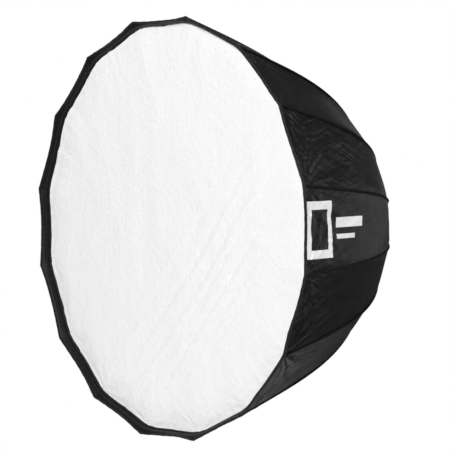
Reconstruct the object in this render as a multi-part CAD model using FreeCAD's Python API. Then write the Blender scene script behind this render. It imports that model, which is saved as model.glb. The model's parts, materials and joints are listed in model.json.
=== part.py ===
import FreeCAD, Part
import math
import os

# Deep sixteen-rib octabox with a quick-open rod ring and a three-lug bayonet insert.
# Frame: the canopy's axis is Y, its open front faces -Y, and +Z is up. The origin is the
# centre of the insert's flange face, the face that meets the light. Millimetres.

# Canopy
RIB_COUNT = 16
RIB_STEP = 360.0 / RIB_COUNT
HALF_STEP = RIB_STEP / 2
FRONT_RADIUS = 750.0  # front edge, axis to corner
REAR_RADIUS = 100.0  # rear edge, axis to corner
ROOT_RADIUS = 128.0  # the ribs run straight out to here, then bend
REAR_Y = -26.0  # fabric at the rear edge
TIP_SLOPE = 17.4  # angle between rib and canopy axis at the front, degrees
HUB_SLOPE = 90.0  # the same angle at the hub
BEND_POWER = 2.75  # how late the bend comes along the rib
ARC_COUNT = 8  # tangent arcs in one rib
FABRIC = 1.5  # thickness of the woven parts
SEAM_GAP = 0.4  # from a gore's side to the plane of its rib

# Ribs
ROD_RADIUS = 2.0
ROD_INSET = 4.5  # rod centre inside the fabric
ROD_START = 104.0  # radius at which the rod sits in its bracket
TIP_CAP_RADIUS = 3.25
TIP_CAP_LENGTH = 24.0
TIP_SETBACK = 13.5  # tip cap's crown centre behind the front edge
ROD_SETBACK = TIP_SETBACK + TIP_CAP_LENGTH
BRACKET_WIDTH = 12.2
BRACKET_FRONT = 5.0  # arm ahead of the rod's centre
BRACKET_REAR = 3.0  # arm behind it
BRACKET_END = 126.0
HUB_RADIUS = 7.0
HINGE_RADIUS = 84.0
PIN_RADIUS = 2.0
PIN_LENGTH = 22.0

# Rod ring and the barrel that it turns on
BORE_RADIUS = 44.0
TUBE_RADIUS = 48.5
BARREL_RADIUS = 56.0
RING_INNER = 56.5
RING_OUTER = 92.0
RING_FRONT = -46.0
RING_REAR = -6.5
SLOT_WIDTH = 13.0
SLOT_INNER = 70.0
SLOT_FLOOR = -23.2
WASHER_THICK = 1.5
WASHER_OUTER = 64.0
FLANGE_RADIUS = 66.0
FLANGE_THICK = 5.0
TUBE_LENGTH = 14.0
LUG_RADIUS = 55.0
LUG_THICK = 4.0
LUG_ANGLE = 38.0
PLATE_THICK = 2.5
KNOB_Y = -13.0
STUD_RADIUS = 4.0
RETAINER_THICK = 3.0

# Front edge and diffusers
BINDING_THICK = 2.5
BINDING_WIDTH = 6.5
LIP_DEPTH = 25.0  # the outer diffuser's recess behind the front edge
LIP_INSET = 8.6  # lip band inside the fabric, so that it covers the rods
LIP_FRONT_INSET = 2.6  # at the front edge, where the two are bound together
LIP_FLARE = 9.0  # depth over which it leaves the front edge
HEM_WIDTH = 25.0
BAFFLE_DEPTH = 330.0  # inner diffuser behind the front edge
BAFFLE_GAP = 34.0  # from the inner diffuser's corner to the fabric

Y_AXIS = FreeCAD.Vector(0, 1, 0)
ORIGIN = FreeCAD.Vector(0, 0, 0)


def vec(x, y, z=0.0):
    return FreeCAD.Vector(x, y, z)


def turned(shape, degrees):
    """A copy turned about the canopy axis, anticlockwise seen from the front."""
    copy = shape.copy()
    copy.rotate(ORIGIN, Y_AXIS, -degrees)
    return copy


def around(shape, count, first=0.0):
    return [turned(shape, first + 360.0 / count * i) for i in range(count)]


def rib_angle(index):
    return HALF_STEP + RIB_STEP * index


def disc(radius, y0, y1):
    return Part.makeCylinder(radius, y1 - y0, vec(0, y0), Y_AXIS)


def annulus(inner, outer, y0, y1):
    return disc(outer, y0, y1).cut(disc(inner, y0 - 1, y1 + 1))


def box(x0, x1, y0, y1, z0, z1):
    return Part.makeBox(x1 - x0, y1 - y0, z1 - z0, vec(x0, y0, z0))


def bar(start, end, radius):
    return Part.makeCylinder(radius, (end - start).Length, start, end - start)


def save(name, *shapes):
    solids = [solid for shape in shapes for solid in shape.Solids]
    if not all(solid.isValid() for solid in solids):
        raise ValueError(name + " holds a solid that isn't valid")
    Part.makeCompound(solids).exportStep("parts/" + name + ".step")


# The rib curve lies in the half plane (r, y) of its rib and runs from the front edge to the hub.
# Its slope turns slowly at the front and fast near the hub, in tangent arcs, each given as
# (centre r, centre y, radius, slope at its front end, slope at its rear end).


def slope_at(share):
    return math.radians(TIP_SLOPE + (HUB_SLOPE - TIP_SLOPE) * share**BEND_POWER)


def rib_curve():
    slopes = [slope_at(i / ARC_COUNT) for i in range(ARC_COUNT + 1)]
    spans = list(zip(slopes, slopes[1:]))
    run = sum((math.cos(a) - math.cos(b)) / (b - a) for a, b in spans)
    rise = sum((math.sin(b) - math.sin(a)) / (b - a) for a, b in spans)
    arc_length = (FRONT_RADIUS - ROOT_RADIUS) / run
    r = FRONT_RADIUS
    y = REAR_Y - arc_length * rise
    arcs = []
    for a, b in spans:
        radius = arc_length / (b - a)
        centre_r = r - radius * math.cos(a)
        centre_y = y - radius * math.sin(a)
        arcs.append((centre_r, centre_y, radius, a, b))
        r = centre_r + radius * math.cos(b)
        y = centre_y + radius * math.sin(b)
    return arcs


ARCS = rib_curve()
FRONT_Y = ARCS[0][1] + ARCS[0][2] * math.sin(ARCS[0][3])


def arc_point(arc, slope, offset=0.0):
    """A point of the rib curve, moved by offset along its outward normal, as (r, y)."""
    centre_r, centre_y, radius = arc[:3]
    reach = radius + offset
    return centre_r + reach * math.cos(slope), centre_y + reach * math.sin(slope)


def curve_radius(y):
    """Radius of the rib curve at an axial place near the front, from the arc that covers it."""
    for centre_r, centre_y, radius, _, rear in ARCS:
        if y <= centre_y + radius * math.sin(rear):
            return centre_r + math.sqrt(radius**2 - (y - centre_y) ** 2)
    return ROOT_RADIUS


def side_line(offset, scale):
    """Edges of the curve at an offset, from the front edge to the rear edge, r scaled."""
    edges = []
    for arc in ARCS:
        slopes = (arc[3], (arc[3] + arc[4]) / 2, arc[4])
        points = [arc_point(arc, slope, offset) for slope in slopes]
        points = [vec(r * scale, y) for r, y in points]
        edges.append(Part.Arc(*points).toShape())
    root = vec(ROOT_RADIUS * scale, REAR_Y + offset)
    edges.append(Part.makeLine(root, vec(REAR_RADIUS * scale, REAR_Y + offset)))
    return edges


def curved_band(inner, outer, scale):
    """Flat face between two offsets of the rib curve, in the XY plane."""
    inside = side_line(inner, scale)
    outside = side_line(outer, scale)
    first = Part.makeLine(inside[0].Vertexes[0].Point, outside[0].Vertexes[0].Point)
    last = Part.makeLine(inside[-1].Vertexes[-1].Point, outside[-1].Vertexes[-1].Point)
    return Part.Face(Part.Wire(Part.__sortEdges__(inside + outside + [first, last])))


def sector(inner, outer, y0, y1, gap=SEAM_GAP):
    """Wedge of one gore about +X, kept a gap short of the planes of its two ribs."""
    spread = math.tan(math.radians(HALF_STEP))
    trim = gap / math.cos(math.radians(HALF_STEP))
    corners = [
        vec(inner, y0, -inner * spread + trim),
        vec(outer, y0, -outer * spread + trim),
        vec(outer, y0, outer * spread - trim),
        vec(inner, y0, inner * spread - trim),
    ]
    return Part.Face(Part.makePolygon(corners + corners[:1])).extrude(vec(0, y1 - y0))


def polygon_ring(section):
    """Sixteen separate straight lengths of a band; section is its outline in (r at a corner, y)."""
    scale = math.cos(math.radians(HALF_STEP))
    corners = [vec(r * scale, y) for r, y in section]
    face = Part.Face(Part.makePolygon(corners + corners[:1]))
    half = FRONT_RADIUS * math.sin(math.radians(HALF_STEP)) + 20
    face.translate(vec(0, 0, -half))
    strip = face.extrude(vec(0, 0, 2 * half))
    strip = strip.common(sector(50, FRONT_RADIUS + 50, FRONT_Y - 50, 0))
    return around(strip, RIB_COUNT)


def polygon_plate(corner_radius, y, thickness):
    corners = []
    for index in range(RIB_COUNT):
        angle = math.radians(rib_angle(index))
        corners.append(vec(corner_radius * math.cos(angle), y, corner_radius * math.sin(angle)))
    return Part.Face(Part.makePolygon(corners + corners[:1])).extrude(vec(0, thickness))


# Insert: everything that is locked to the light


def bayonet_insert():
    shape = disc(BARREL_RADIUS, RING_FRONT - WASHER_THICK, -FLANGE_THICK)
    shape = shape.fuse(disc(FLANGE_RADIUS, -FLANGE_THICK, 0))
    shape = shape.fuse(disc(TUBE_RADIUS, 0, TUBE_LENGTH))
    lug = annulus(TUBE_RADIUS - 1, LUG_RADIUS, TUBE_LENGTH - 1 - LUG_THICK, TUBE_LENGTH - 1)
    spread = math.radians(LUG_ANGLE / 2)
    reach = 2 * LUG_RADIUS
    side = reach * math.tan(spread)
    corners = [vec(0, 0), vec(reach, 0, side), vec(reach, 0, -side), vec(0, 0)]
    lug = lug.common(Part.Face(Part.makePolygon(corners)).extrude(vec(0, TUBE_LENGTH)))
    for copy in around(lug, 3, 90):
        shape = shape.fuse(copy)
    shape = shape.cut(disc(BORE_RADIUS, RING_FRONT - 10, TUBE_LENGTH + 1))
    for hole in around(bar(vec(50, RING_FRONT - 3), vec(50, RING_FRONT + 9), 1.25), 6, 30):
        shape = shape.cut(hole)
    lock_notch = bar(vec(60.5, -FLANGE_THICK - 1), vec(60.5, 1), 3.0)
    return shape.cut(turned(lock_notch, 45)).removeSplitter()


def retaining_ring():
    rear = RING_FRONT - WASHER_THICK
    shape = annulus(BORE_RADIUS, WASHER_OUTER, rear - RETAINER_THICK, rear)
    for hole in around(bar(vec(50, rear - 9), vec(50, rear + 9), 1.6), 6, 30):
        shape = shape.cut(hole)
    return shape


def screw(x, head_y, shank_y, head_radius, shank_radius):
    """Pan-head screw along Y at radius x, with its head in front of head_y and a hex socket."""
    out = 1 if head_y > shank_y else -1
    top = head_y + 2.2 * out
    shape = bar(vec(x, head_y), vec(x, top), head_radius)
    shape = shape.fuse(bar(vec(x, shank_y), vec(x, head_y), shank_radius))
    corners = []
    for side in range(7):
        angle = math.radians(60 * side)
        reach = head_radius * 0.55
        corners.append(vec(x + reach * math.cos(angle), top, reach * math.sin(angle)))
    return shape.cut(Part.Face(Part.makePolygon(corners)).extrude(vec(0, -1.2 * out)))


# Rod ring: turns on the barrel and carries the hinges


def slot_cut(front, rear):
    return box(SLOT_INNER, RING_OUTER + 20, front, rear, -SLOT_WIDTH / 2, SLOT_WIDTH / 2)


def rib_axis_y():
    return REAR_Y - ROD_INSET


def rod_ring():
    shape = annulus(RING_INNER, RING_OUTER, RING_FRONT, RING_REAR)
    half_pin = PIN_LENGTH / 2 + 0.3
    y = rib_axis_y()
    pin = PIN_RADIUS + 0.05
    groove = box(HINGE_RADIUS - pin, HINGE_RADIUS + pin, RING_FRONT - 1, y, -half_pin, half_pin)
    seat = bar(vec(HINGE_RADIUS, y, -half_pin), vec(HINGE_RADIUS, y, half_pin), pin)
    cutter = slot_cut(RING_FRONT - 1, SLOT_FLOOR).fuse(groove).fuse(seat)
    for copy in around(cutter, RIB_COUNT, HALF_STEP):
        shape = shape.cut(copy)
    for hole in around(bar(vec(80, RING_REAR - 8), vec(80, 0), 1.25), 8, RIB_STEP):
        shape = shape.cut(hole)
    for hole in around(bar(vec(76, RING_FRONT - 1), vec(76, RING_FRONT + 8), 1.0), 8):
        shape = shape.cut(hole)
    stud_hole = bar(vec(0, KNOB_Y, -50), vec(0, KNOB_Y, -110), STUD_RADIUS + 0.3)
    return shape.cut(stud_hole)


def front_plate():
    """Keeps the hinge pins in their grooves; slotted, so that the ribs can swing forward."""
    shape = annulus(FLANGE_RADIUS, RING_OUTER - 0.5, RING_FRONT - PLATE_THICK, RING_FRONT)
    for copy in around(slot_cut(RING_FRONT - 9, RING_FRONT + 9), RIB_COUNT, HALF_STEP):
        shape = shape.cut(copy)
    for hole in around(bar(vec(76, RING_FRONT - 9), vec(76, RING_FRONT + 9), 1.3), 8):
        shape = shape.cut(hole)
    return shape


def rear_cover():
    shape = annulus(FLANGE_RADIUS + 2, RING_OUTER, RING_REAR, RING_REAR + PLATE_THICK)
    for hole in around(bar(vec(80, RING_REAR - 9), vec(80, RING_REAR + 9), 1.6), 8, RIB_STEP):
        shape = shape.cut(hole)
    return shape


def hinge_pin():
    y = rib_axis_y()
    half = PIN_LENGTH / 2
    return bar(vec(HINGE_RADIUS, y, -half), vec(HINGE_RADIUS, y, half), PIN_RADIUS)


def detent_spring():
    """Bent leaf between the slot's inner wall and the bracket's hub."""
    crest = HINGE_RADIUS - HUB_RADIUS - 1.0
    foot = SLOT_INNER + 0.2
    y = rib_axis_y()
    line = [(foot, y - 12), (crest, y - 2), (crest, y + 2), (foot, y + 7)]
    inner = [vec(x, place, -4) for x, place in line]
    outer = [vec(x + 0.6, place, -4) for x, place in reversed(line)]
    outline = inner + outer + inner[:1]
    return Part.Face(Part.makePolygon(outline)).extrude(vec(0, 0, 8))


def rear_collar():
    """Elastic collar that closes the canopy around the rod ring."""
    flange = annulus(RING_OUTER + 0.8, REAR_RADIUS - 3, REAR_Y + 1, REAR_Y + 2.5)
    sleeve = annulus(RING_OUTER + 0.8, RING_OUTER + 2.3, REAR_Y + 2.5, REAR_Y + 6)
    return flange.fuse(sleeve).removeSplitter()


def lock_knob():
    """Six-lobed clamp knob under the rod ring; its stud presses on the barrel."""
    top = -(RING_OUTER + 4.0)
    shape = bar(vec(0, KNOB_Y, top), vec(0, KNOB_Y, top - 16), 9.5)
    shape = shape.fuse(bar(vec(0, KNOB_Y, -(RING_OUTER + 0.6)), vec(0, KNOB_Y, top), 6.0))
    for side in range(6):
        angle = math.radians(60 * side + 30)
        x = 12 * math.cos(angle)
        y = KNOB_Y + 12 * math.sin(angle)
        shape = shape.cut(bar(vec(x, y, top + 1), vec(x, y, top - 17), 4.5))
    return shape.cut(bar(vec(0, KNOB_Y, top + 9), vec(0, KNOB_Y, top - 8), STUD_RADIUS))


def lock_stud():
    return bar(vec(0, KNOB_Y, -(BARREL_RADIUS + 0.3)), vec(0, KNOB_Y, -RING_OUTER - 12), STUD_RADIUS)


# Ribs


def rod():
    """Curved rod in the XY plane, made of torus lengths joined to a straight root."""
    y = rib_axis_y()
    shape = bar(vec(ROD_START, y), vec(ROOT_RADIUS, y), ROD_RADIUS)
    for number, (centre_r, centre_y, radius, front, rear) in enumerate(ARCS):
        reach = radius - ROD_INSET
        if number == 0:
            front = front + ROD_SETBACK / reach
        point = vec(centre_r + reach * math.cos(front), centre_y + reach * math.sin(front))
        along = vec(-math.sin(front), math.cos(front))
        circle = Part.Face(Part.Wire(Part.makeCircle(ROD_RADIUS, point, along)))
        sweep = math.degrees(rear - front)
        shape = shape.fuse(circle.revolve(vec(centre_r, centre_y), vec(0, 0, 1), sweep))
    return shape.removeSplitter()


def rod_tip():
    """Front end of the rod and its direction, as (point, forward unit vector)."""
    centre_r, centre_y, radius, front, _ = ARCS[0]
    reach = radius - ROD_INSET
    slope = front + ROD_SETBACK / reach
    point = vec(centre_r + reach * math.cos(slope), centre_y + reach * math.sin(slope))
    return point, vec(math.sin(slope), -math.cos(slope))


def tip_cap():
    """Rounded end piece bonded to the rod's front end."""
    point, ahead = rod_tip()
    crown = point + ahead * TIP_CAP_LENGTH
    return bar(point, crown, TIP_CAP_RADIUS).fuse(Part.makeSphere(TIP_CAP_RADIUS, crown))


def bracket():
    y = rib_axis_y()
    half = BRACKET_WIDTH / 2
    shape = bar(vec(HINGE_RADIUS, y, -half), vec(HINGE_RADIUS, y, half), HUB_RADIUS)
    arm = box(HINGE_RADIUS, BRACKET_END, y - BRACKET_FRONT, y + BRACKET_REAR, -half, half)
    heel = box(HINGE_RADIUS, RING_OUTER - 2.5, y, SLOT_FLOOR - 0.3, -half, half)
    shape = shape.fuse(arm)
    shape = shape.fuse(heel).removeSplitter()
    pin = bar(vec(HINGE_RADIUS, y, -20), vec(HINGE_RADIUS, y, 20), PIN_RADIUS + 0.25)
    socket = bar(vec(ROD_START, y), vec(BRACKET_END + 5, y), ROD_RADIUS)
    return shape.cut(pin).cut(socket)


def rib():
    return [bracket(), rod(), tip_cap()]


# Canopy fabric


def gore():
    """One fabric panel about +X: flat across, curved along the ribs."""
    scale = math.cos(math.radians(HALF_STEP))
    face = curved_band(-FABRIC / 2, FABRIC / 2, scale)
    half = FRONT_RADIUS * math.sin(math.radians(HALF_STEP)) + 20
    face.translate(vec(0, 0, -half))
    panel = face.extrude(vec(0, 0, 2 * half))
    return panel.common(sector(50, FRONT_RADIUS + 50, FRONT_Y - 50, 0))


def front_binding():
    """Binding tape over the raw edges of the fabric and the lip band."""
    outer = FRONT_RADIUS + 1.5
    y0 = FRONT_Y - 1.5 - BINDING_THICK
    y1 = FRONT_Y - 1.5
    inner = outer - BINDING_WIDTH
    return polygon_ring([(inner, y0), (outer, y0), (outer, y1), (inner, y1)])


def band_section(stations):
    """Outline of a band inside the canopy wall, through stations of depth and inset."""
    outside = []
    for depth, inset in stations:
        y = FRONT_Y + depth
        outside.append((curve_radius(y) - inset, y))
    inside = [(radius - FABRIC, y) for radius, y in reversed(outside)]
    return outside + inside


def front_lip_band():
    front = (1, LIP_FRONT_INSET)
    return polygon_ring(band_section([front, (LIP_FLARE, LIP_INSET), (LIP_DEPTH + HEM_WIDTH, LIP_INSET)]))


def diffuser_hem():
    """Hook strip sewn round the outer diffuser, against the lip band."""
    inset = LIP_INSET + FABRIC + 0.4
    return polygon_ring(band_section([(LIP_DEPTH + 1, inset), (LIP_DEPTH + HEM_WIDTH, inset)]))


def outer_diffuser():
    y = FRONT_Y + LIP_DEPTH
    corner = curve_radius(y) - LIP_INSET - FABRIC - 0.8
    return polygon_plate(corner, y - FABRIC / 2, FABRIC)


def baffle_corner():
    return curve_radius(FRONT_Y + BAFFLE_DEPTH) - BAFFLE_GAP


def inner_diffuser():
    return polygon_plate(baffle_corner(), FRONT_Y + BAFFLE_DEPTH - FABRIC / 2, FABRIC)


def baffle_tab():
    """Elastic tab that ties a corner of the inner diffuser to its rib."""
    y = FRONT_Y + BAFFLE_DEPTH
    end = curve_radius(y) - ROD_INSET - ROD_RADIUS - 3
    return box(baffle_corner() + 0.4, end, y - FABRIC / 2, y + FABRIC / 2, -8, 8)


def build():
    os.makedirs("parts", exist_ok=True)
    front_washer = annulus(RING_INNER, WASHER_OUTER, RING_FRONT - WASHER_THICK, RING_FRONT)
    rear_washer = annulus(RING_INNER, WASHER_OUTER, RING_REAR, RING_REAR + WASHER_THICK)
    retainer_front = RING_FRONT - WASHER_THICK - RETAINER_THICK
    ring_screw = screw(50, retainer_front, RING_FRONT + 6, 2.6, 1.25)
    cover_screw = screw(80, RING_REAR + PLATE_THICK, RING_REAR - 7, 2.8, 1.25)
    plate_screw = screw(76, RING_FRONT - PLATE_THICK, RING_FRONT + 7, 2.2, 1.0)

    save("bayonet_insert", bayonet_insert())
    save("retaining_ring", retaining_ring())
    save("retaining_screws", *around(ring_screw, 6, 30))
    save("glide_washers", front_washer, rear_washer)
    save("rod_ring", rod_ring())
    save("front_plate", front_plate())
    save("front_plate_screws", *around(plate_screw, 8))
    save("rear_cover", rear_cover())
    save("rear_cover_screws", *around(cover_screw, 8, RIB_STEP))
    save("hinge_pins", *around(hinge_pin(), RIB_COUNT, HALF_STEP))
    save("detent_springs", *around(detent_spring(), RIB_COUNT, HALF_STEP))
    save("rear_collar", rear_collar())
    save("lock_knob", lock_knob())
    save("lock_stud", lock_stud())
    save("front_binding", *front_binding())
    save("front_lip_band", *front_lip_band())
    save("outer_diffuser", outer_diffuser())
    save("diffuser_hem", *diffuser_hem())
    save("inner_diffuser", inner_diffuser())
    save("baffle_tabs", *around(baffle_tab(), RIB_COUNT, HALF_STEP))

    pieces = rib()
    panel = gore()
    for index in range(RIB_COUNT):
        number = "%02d" % (index + 1)
        save("rib_" + number, *[turned(piece, rib_angle(index)) for piece in pieces])
        save("gore_" + number, turned(panel, rib_angle(index) + HALF_STEP))
    print("front edge y", round(FRONT_Y, 1))


build()
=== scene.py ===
import json
import math

import bpy
import numpy as np
from mathutils import Matrix, Vector

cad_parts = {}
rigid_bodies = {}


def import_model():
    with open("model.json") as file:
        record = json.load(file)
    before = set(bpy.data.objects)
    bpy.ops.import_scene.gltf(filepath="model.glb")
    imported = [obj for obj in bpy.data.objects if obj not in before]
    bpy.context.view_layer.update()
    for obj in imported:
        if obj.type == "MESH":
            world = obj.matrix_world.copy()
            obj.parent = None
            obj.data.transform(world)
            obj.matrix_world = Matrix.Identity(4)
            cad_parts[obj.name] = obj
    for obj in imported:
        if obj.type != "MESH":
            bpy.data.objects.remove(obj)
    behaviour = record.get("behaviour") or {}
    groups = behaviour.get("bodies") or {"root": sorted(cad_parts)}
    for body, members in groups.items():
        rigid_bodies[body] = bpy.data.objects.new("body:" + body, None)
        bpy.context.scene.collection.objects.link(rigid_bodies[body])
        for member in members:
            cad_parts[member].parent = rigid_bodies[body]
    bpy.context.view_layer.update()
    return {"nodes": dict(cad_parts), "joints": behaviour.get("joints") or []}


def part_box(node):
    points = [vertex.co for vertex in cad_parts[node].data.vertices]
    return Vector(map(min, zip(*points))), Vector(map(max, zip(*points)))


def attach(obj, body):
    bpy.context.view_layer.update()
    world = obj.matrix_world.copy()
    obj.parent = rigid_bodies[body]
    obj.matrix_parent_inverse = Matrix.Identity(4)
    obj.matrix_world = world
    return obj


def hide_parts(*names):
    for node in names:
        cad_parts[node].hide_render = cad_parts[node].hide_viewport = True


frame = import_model()

# The canopy's driving sizes, in metres and degrees, as the part has them.
RIBS = 16
STEP = 2 * math.pi / RIBS
HALF = STEP / 2
FRONT_RADIUS = 0.750
REAR_RADIUS = 0.100
ROOT_RADIUS = 0.128
REAR_Y = -0.026
TIP_SLOPE = 17.4
HUB_SLOPE = 90.0
BEND_POWER = 2.75
LIP_DEPTH = 0.025
BAFFLE_DEPTH = 0.330
BAFFLE_GAP = 0.034

FLOOR_Z = -1.75
FLOOR_RADIUS = 2.0

FOLD = next(j for j in frame["joints"] if j["name"] == "fold_01")
HINGE_RADIUS = math.hypot(FOLD["pos_m"][0], FOLD["pos_m"][2])
HINGE_Y = FOLD["pos_m"][1]
PLEAT = 0.15  # how far the spare cloth stands out between two folded ribs, as a share of it


# ---------------------------------------------------------------- the rib curve


def rib_curve(steps=400):
    """Arc length from the front edge, radius, y and slope along a rib, front to rear."""
    share = np.linspace(0, 1, steps + 1)
    slope = np.radians(TIP_SLOPE + (HUB_SLOPE - TIP_SLOPE) * share**BEND_POWER)
    inward = np.concatenate([[0], np.cumsum((np.sin(slope[1:]) + np.sin(slope[:-1])) / 2)])
    back = np.concatenate([[0], np.cumsum((np.cos(slope[1:]) + np.cos(slope[:-1])) / 2)])
    step = (FRONT_RADIUS - ROOT_RADIUS) / inward[-1]
    length = np.append(share * steps * step, steps * step + ROOT_RADIUS - REAR_RADIUS)
    radius = np.append(FRONT_RADIUS - inward * step, REAR_RADIUS)
    y = np.append(REAR_Y + (back - back[-1]) * step, REAR_Y)
    return length, radius, y, np.append(slope, slope[-1])


CURVE = rib_curve()
RIB_LENGTH = CURVE[0][-1]
FRONT_Y = CURVE[2][0]


def along_rib(s):
    """Radius, y and slope at arc length s behind the front edge."""
    return tuple(np.interp(s, CURVE[0], column) for column in CURVE[1:])


def radius_at(y):
    return float(np.interp(y, CURVE[2], CURVE[1]))


def rib_angle(number):
    """Angle of rib number, counted from 0, anticlockwise from +X seen from the front."""
    return HALF + STEP * number


# ---------------------------------------------------------------- wrinkles


# How crumpled the front of a panel is, and the panels that differ from the usual.
USUAL_CRUMPLE = 0.5
CRUMPLED = {0: 1.0, 1: 0.15, 13: 0.7, 15: 0.75}


def smooth(edge0, edge1, x):
    t = np.clip((x - edge0) / (edge1 - edge0), 0, 1)
    return t * t * (3 - 2 * t)


def noise(x, y, seed):
    """Smooth noise from -1 to 1 with a cell of 1, the same every run."""
    grid = np.random.default_rng(seed).uniform(-1, 1, (64, 64))
    xi, yi = np.floor(x).astype(int), np.floor(y).astype(int)
    fx, fy = x - xi, y - yi
    fx = fx * fx * (3 - 2 * fx)
    fy = fy * fy * (3 - 2 * fy)
    a = grid[xi % 64, yi % 64] * (1 - fx) + grid[(xi + 1) % 64, yi % 64] * fx
    b = grid[xi % 64, (yi + 1) % 64] * (1 - fx) + grid[(xi + 1) % 64, (yi + 1) % 64] * fx
    return a * (1 - fy) + b * fy


def ridged(x, y, seed):
    """Noise with sharp crests, as creased cloth has."""
    return 1 - 2 * np.abs(noise(x, y, seed))


def creased(x, y, seed):
    """Thin pressed lines, from 0 to 1."""
    return np.exp(-np.abs(noise(x, y, seed)) / 0.10)


def corner_folds(across, s, seed):
    """Tension folds that fan out from a rib's tip into the panel."""
    reach = np.hypot(across, s) + 1e-6
    angle = np.arctan2(across, s)
    fan = np.sin(angle * 17 + 2.2 * noise(reach * 9, angle * 2, seed) + seed)
    fan = fan + 0.3 * np.sin(angle * 39 + 3.0 * noise(reach * 7, angle * 3, seed + 5))
    fade = np.exp(-reach / 0.15) * smooth(0.01, 0.09, reach)
    return fan * fade * (0.35 + 0.65 * np.abs(noise(angle * 3, reach * 4, seed + 7)))


def gore_relief(number, u, s):
    """Height of a panel's cloth above the flat between its ribs, in metres."""
    width = 2 * along_rib(s)[0] * math.sin(HALF)
    far = s / RIB_LENGTH
    seed = 100 + 10 * number
    crumpled = CRUMPLED.get(number, USUAL_CRUMPLE)
    inner = 4 * u * (1 - u)
    across = u * width
    edge = np.clip(inner * 2.5, 0, 1)
    sag = -0.0045 * inner * np.sin(np.pi * np.clip(far * 1.6, 0, 1)) ** 0.7
    folds = corner_folds(across, s, seed) + corner_folds(width - across, s, seed + 3)
    bend = number * 0.37 + 5 * noise(u * 2, s * 5, seed + 1)
    streaks = noise(s * 57 + bend, u * 1.6 + 7, seed + 2)
    streaks = streaks + 0.5 * noise(s * 118 + 2 * bend, u * 2.4 + 3, seed + 9)
    streaks = streaks * smooth(0.3, 0.6, far) * smooth(1.0, 0.93, far)
    lean = across + math.copysign(0.26, math.sin(STEP * (number + 1))) * s
    crumple = ridged(s * 3.0 + 3, lean * 48, seed + 4)
    crumple = crumple + 0.7 * ridged(s * 4 + lean * 2, lean * 29, seed + 5)
    crumple = crumple + 0.9 * creased(s * 1.6 + 9, lean * 24, seed + 11)
    crumple = crumple * smooth(0.62, 0.1, far) * smooth(0.0, 0.03, far) * crumpled
    swell = noise(s * 6, u * 2.5, seed + 6)
    pucker = np.sin(s * 420 + 3 * noise(s * 30, u, seed + 8))
    off_seam = np.minimum(across, width - across)
    near_seam = np.exp(-off_seam / 0.012)
    groove = -0.0020 * (off_seam / 0.006) * np.exp(1 - off_seam / 0.006) * smooth(0.0, 0.03, far)
    cloth = (0.0045 + 0.0030 * crumpled) * folds + 0.0010 * streaks
    cloth = cloth + 0.0021 * crumple + 0.0024 * swell
    return sag + groove + (cloth + 0.0005 * pucker * near_seam) * edge


def gore_point(number, u, s):
    """Points of panel number, at share u from its first rib to the next, as an (n, 3) array."""
    radius, y, slope = along_rib(s)
    first, second = rib_angle(number), rib_angle(number + 1)
    x = radius * (np.cos(first) * (1 - u) + np.cos(second) * u)
    z = radius * (np.sin(first) * (1 - u) + np.sin(second) * u)
    middle = (first + second) / 2
    height = gore_relief(number, u, s)
    scallop = 4 * u * (1 - u) * np.exp(-s / 0.09)
    x = x + height * np.cos(slope) * np.cos(middle) - 0.003 * scallop * np.cos(middle)
    z = z + height * np.cos(slope) * np.sin(middle) - 0.003 * scallop * np.sin(middle)
    y = y + height * np.sin(slope) + 0.006 * scallop
    return np.stack([x, y, z], -1)


# ---------------------------------------------------------------- meshes


def make_object(name, vertices, faces, material, uv=None):
    mesh = bpy.data.meshes.new(name)
    mesh.from_pydata([tuple(v) for v in vertices], [], faces)
    mesh.validate()
    if uv is not None:
        layer = mesh.uv_layers.new(name="UVMap")
        index = np.zeros(len(mesh.loops), int)
        mesh.loops.foreach_get("vertex_index", index)
        layer.data.foreach_set("uv", np.asarray(uv, np.float32)[index].ravel())
    mesh.materials.append(material)
    mesh.shade_smooth()
    obj = bpy.data.objects.new(name, mesh)
    bpy.context.scene.collection.objects.link(obj)
    return obj


def grid_faces(rows, columns, closed=False):
    """Quads of a grid of points, row by row; closed joins the last column to the first."""
    faces = []
    for i in range(rows - 1):
        for j in range(columns if closed else columns - 1):
            k = (j + 1) % columns
            here, below = i * columns, (i + 1) * columns
            faces.append((here + j, below + j, below + k, here + k))
    return faces


def thicken(obj, thickness, inner_material=None):
    """Gives cloth its thickness, half to each side."""
    solid = obj.modifiers.new("thickness", "SOLIDIFY")
    solid.thickness = thickness
    solid.offset = 0.0
    if inner_material:
        obj.data.materials.append(inner_material)
        solid.material_offset = 1


# ---------------------------------------------------------------- cloth that folds with the ribs


class Tree:
    """Short calls for building a node tree."""

    def __init__(self, tree):
        self.tree = tree

    def node(self, kind, **settings):
        made = self.tree.nodes.new(kind)
        for key, value in settings.items():
            setattr(made, key, value)
        return made

    def feed(self, socket, value):
        if isinstance(value, bpy.types.NodeSocket):
            self.tree.links.new(value, socket)
        else:
            socket.default_value = value

    def math(self, operation, *values):
        made = self.node("ShaderNodeMath", operation=operation)
        for socket, value in zip(made.inputs, values):
            self.feed(socket, value)
        return made.outputs[0]


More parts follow.
